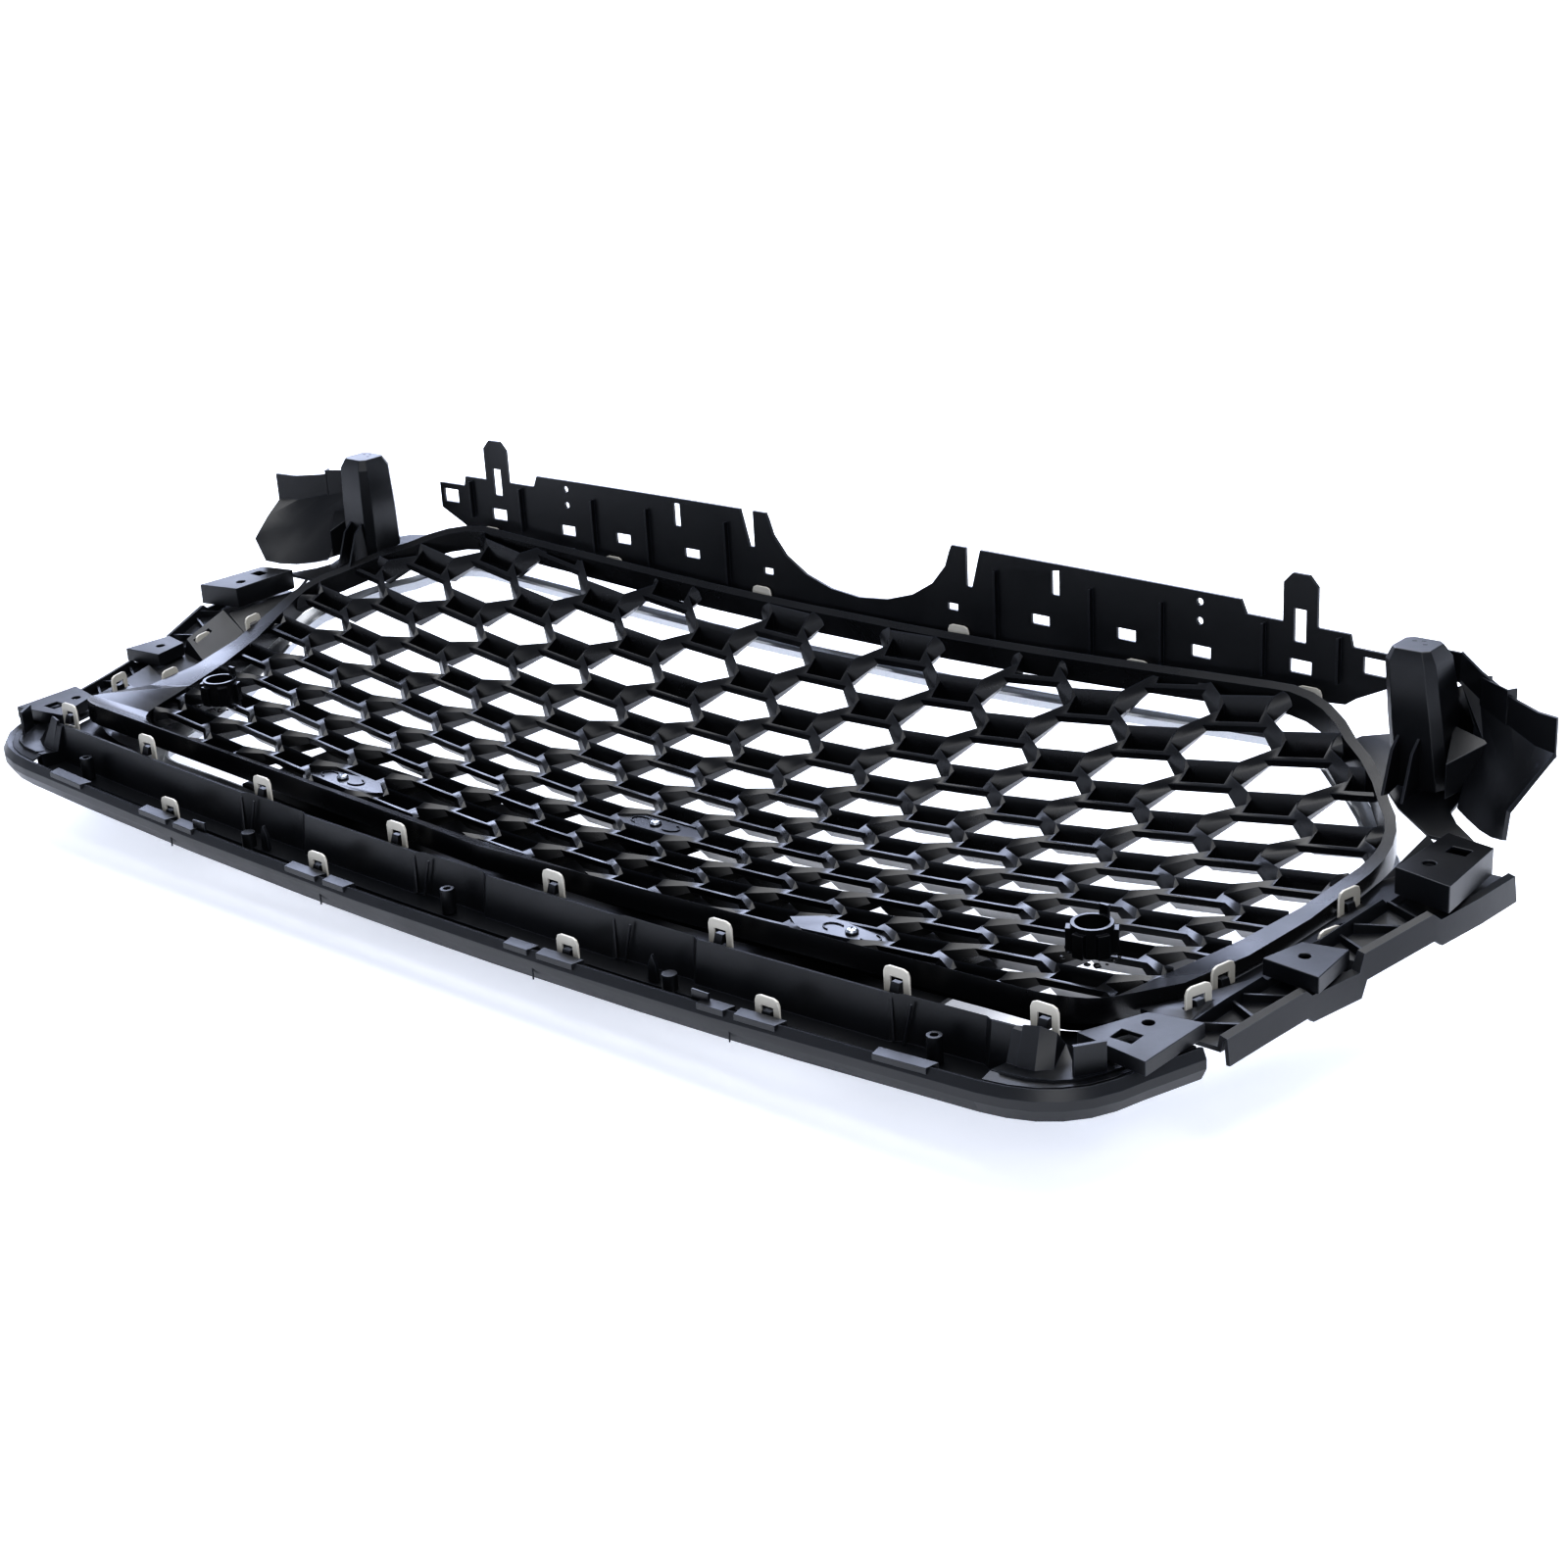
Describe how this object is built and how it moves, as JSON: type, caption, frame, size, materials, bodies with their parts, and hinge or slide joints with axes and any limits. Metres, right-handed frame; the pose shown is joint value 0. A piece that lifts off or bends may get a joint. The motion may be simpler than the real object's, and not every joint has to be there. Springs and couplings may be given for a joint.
{
  "type": "front grille",
  "caption": "Hexagonal honeycomb car grille seen from behind, with a trim surround, an upright top panel, side brackets, props and a bottom channel.",
  "frame": {"origin": "middle of the box's bottom face: the grille lies face down and stands on that plane", "axes": "+X across the car to the right of the picture, +Y from the bottom lip towards the top panel, +Z from the face towards the engine"},
  "size_m": [1.1334, 0.4422, 0.2125],
  "materials": {
    "gloss_black": "gloss moulded",
    "satin_black": "satin moulded",
    "silver_paint": "silver paint",
    "nickel_grey": "satin warm grey",
    "zinc_steel": "zinc plated"
  },
  "bodies": {
    "root": {"blanking_plate": "satin_black", "boss_left": "satin_black", "boss_middle": "satin_black", "boss_right": "satin_black", "channel_wall": "satin_black", "column_base_left": "satin_black", "column_base_right": "satin_black", "column_left": "satin_black", "column_right": "satin_black", "corner_bracket_left": "satin_black", "corner_bracket_right": "satin_black", "corner_flange_left": "satin_black", "corner_flange_right": "satin_black", "honeycomb_insert": "gloss_black", "inner_loop_1": "nickel_grey", "inner_loop_2": "nickel_grey", "inner_loop_3": "nickel_grey", "inner_loop_4": "nickel_grey", "inner_loop_5": "nickel_grey", "inner_loop_6": "nickel_grey", "inner_loop_7": "nickel_grey", "inner_loop_8": "nickel_grey", "insert_frame": "gloss_black", "locating_pin_left": "satin_black", "locating_pin_right": "satin_black", "lower_bracket_left": "satin_black", "lower_bracket_right": "satin_black", "lower_lip": "satin_black", "outer_loop_1": "nickel_grey", "outer_loop_2": "nickel_grey", "outer_loop_3": "nickel_grey", "outer_loop_4": "nickel_grey", "screw_left": "zinc_steel", "screw_middle": "zinc_steel", "screw_right": "zinc_steel", "sensor_holder_left": "gloss_black", "sensor_holder_right": "gloss_black", "side_loop_1": "nickel_grey", "side_loop_2": "nickel_grey", "side_loop_3": "nickel_grey", "side_loop_4": "nickel_grey", "side_loop_5": "nickel_grey", "side_loop_6": "nickel_grey", "side_loop_7": "nickel_grey", "side_loop_8": "nickel_grey", "side_rail_left": "satin_black", "side_rail_right": "satin_black", "top_panel": "satin_black", "top_tab_1": "nickel_grey", "top_tab_2": "nickel_grey", "top_tab_3": "nickel_grey", "top_tab_4": "nickel_grey", "top_tab_5": "nickel_grey", "top_tab_6": "nickel_grey", "trim_surround": "silver_paint", "upper_bracket_left": "satin_black", "upper_bracket_right": "satin_black", "wing_left": "satin_black", "wing_right": "satin_black"}
  },
  "joints": []
}
